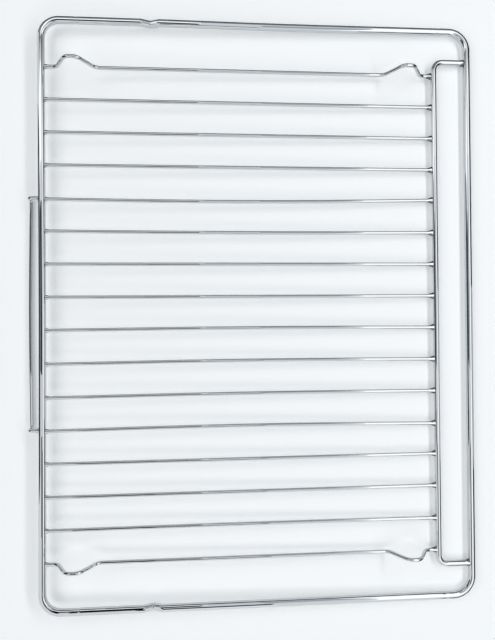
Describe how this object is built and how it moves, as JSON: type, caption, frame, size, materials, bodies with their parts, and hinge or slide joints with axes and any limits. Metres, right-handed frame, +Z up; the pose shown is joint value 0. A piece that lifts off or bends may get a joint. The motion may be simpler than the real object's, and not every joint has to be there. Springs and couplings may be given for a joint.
{
  "type": "oven shelf rack",
  "caption": "Chrome-plated wire oven shelf: a bent rod frame with stop notches, a front bar behind a hand slot, humped outer wires and a low rear stop.",
  "frame": {"origin": "centre of the plan, at the level of the underside of the rear stop's cross bar", "axes": "+X to the right side seen from the oven door, +Y to the back of the oven, +Z up, the side with the humps"},
  "size_m": [0.445, 0.34, 0.0243],
  "materials": {
    "chrome_plate": "bright chrome plate over steel rod and wire"
  },
  "bodies": {
    "root": {"outer_frame": "chrome_plate", "front_bar": "chrome_plate", "rear_stop": "chrome_plate", "outer_wire_left": "chrome_plate", "outer_wire_right": "chrome_plate", "grid_wire_01": "chrome_plate", "grid_wire_02": "chrome_plate", "grid_wire_03": "chrome_plate", "grid_wire_04": "chrome_plate", "grid_wire_05": "chrome_plate", "grid_wire_06": "chrome_plate", "grid_wire_07": "chrome_plate", "grid_wire_08": "chrome_plate", "grid_wire_09": "chrome_plate", "grid_wire_10": "chrome_plate", "grid_wire_11": "chrome_plate", "grid_wire_12": "chrome_plate", "grid_wire_13": "chrome_plate", "grid_wire_14": "chrome_plate"}
  },
  "joints": []
}
